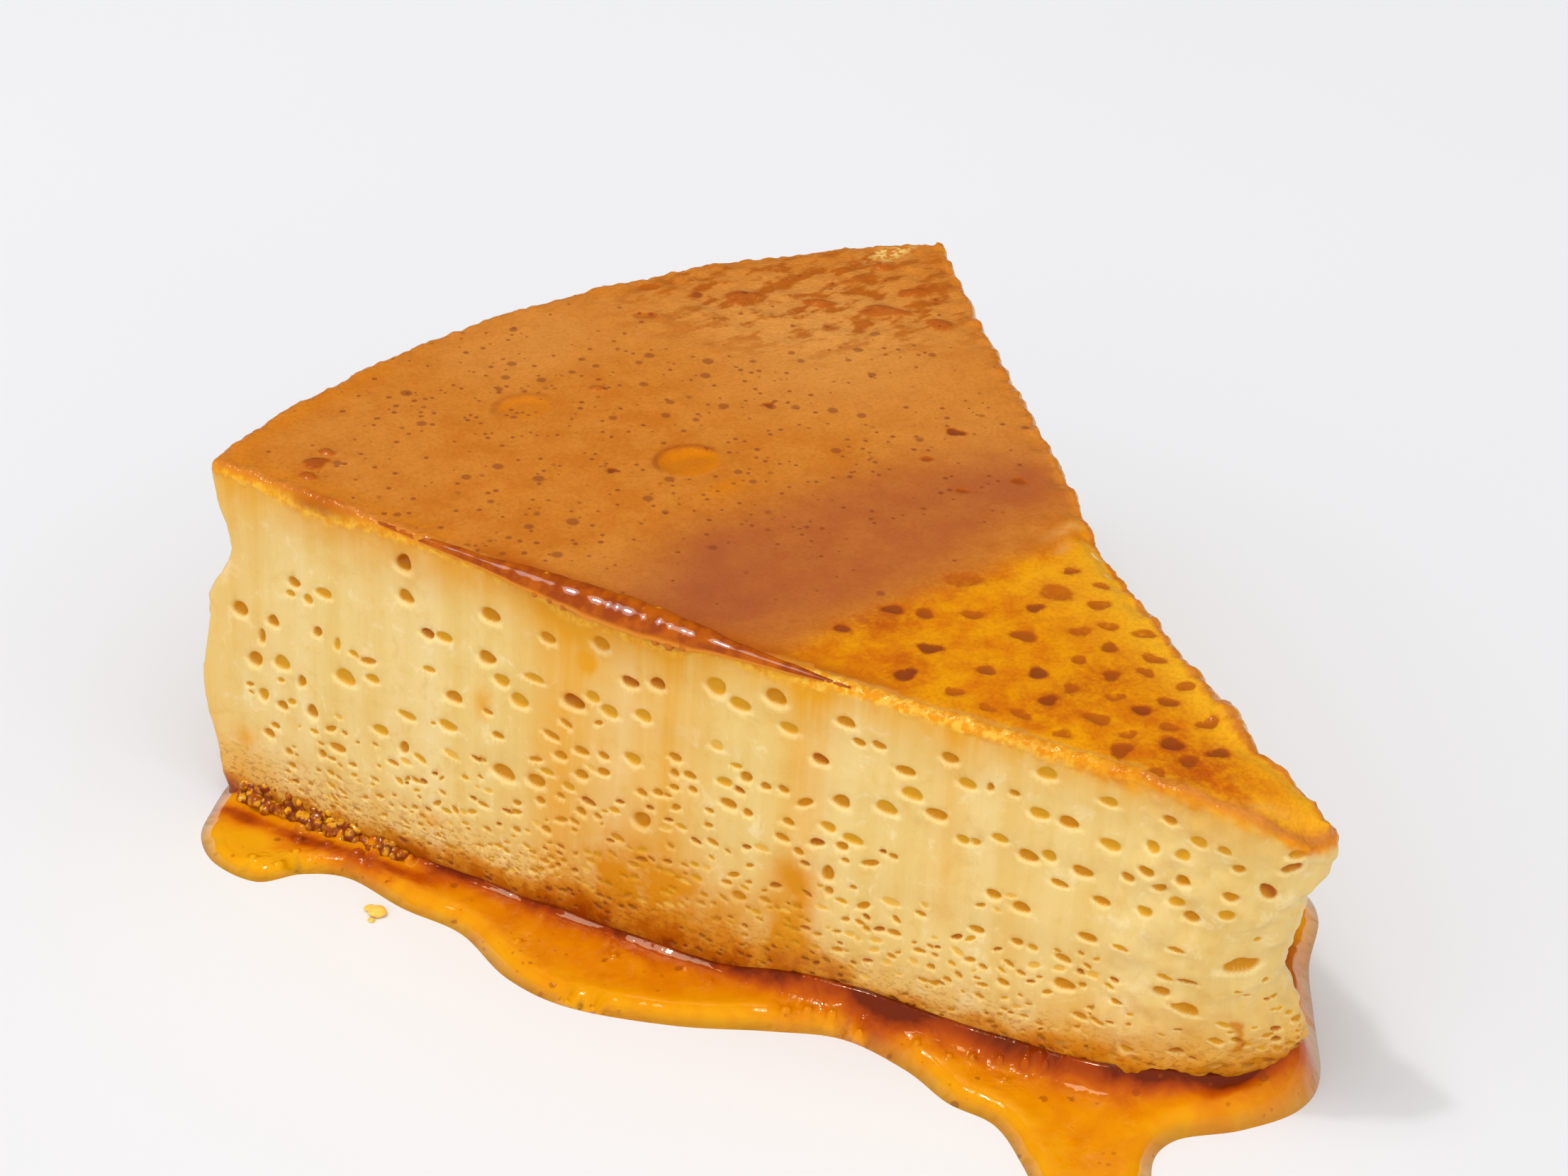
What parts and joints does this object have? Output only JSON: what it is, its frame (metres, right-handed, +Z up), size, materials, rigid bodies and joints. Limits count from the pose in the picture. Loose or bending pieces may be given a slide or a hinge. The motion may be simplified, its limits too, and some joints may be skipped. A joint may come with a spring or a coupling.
{
  "type": "creme caramel flan slice",
  "caption": "Wedge slice of creme caramel flan with a caramel-stained top, bubbled cut faces and a torn tip, standing in a pool of caramel.",
  "frame": {"origin": "on the resting surface, under the middle of the slice, 60 mm from the point where the two knife cuts would meet", "axes": "+Z up, +Y from the slice's tip to its rim along its middle, +X to the right when looking from the tip to the rim"},
  "size_m": [0.0987, 0.1217, 0.0354],
  "materials": {
    "custard": "moist, satin",
    "caramel": "wet, glossy"
  },
  "bodies": {
    "root": {"custard": "custard", "caramel_pool": "caramel"}
  },
  "joints": []
}
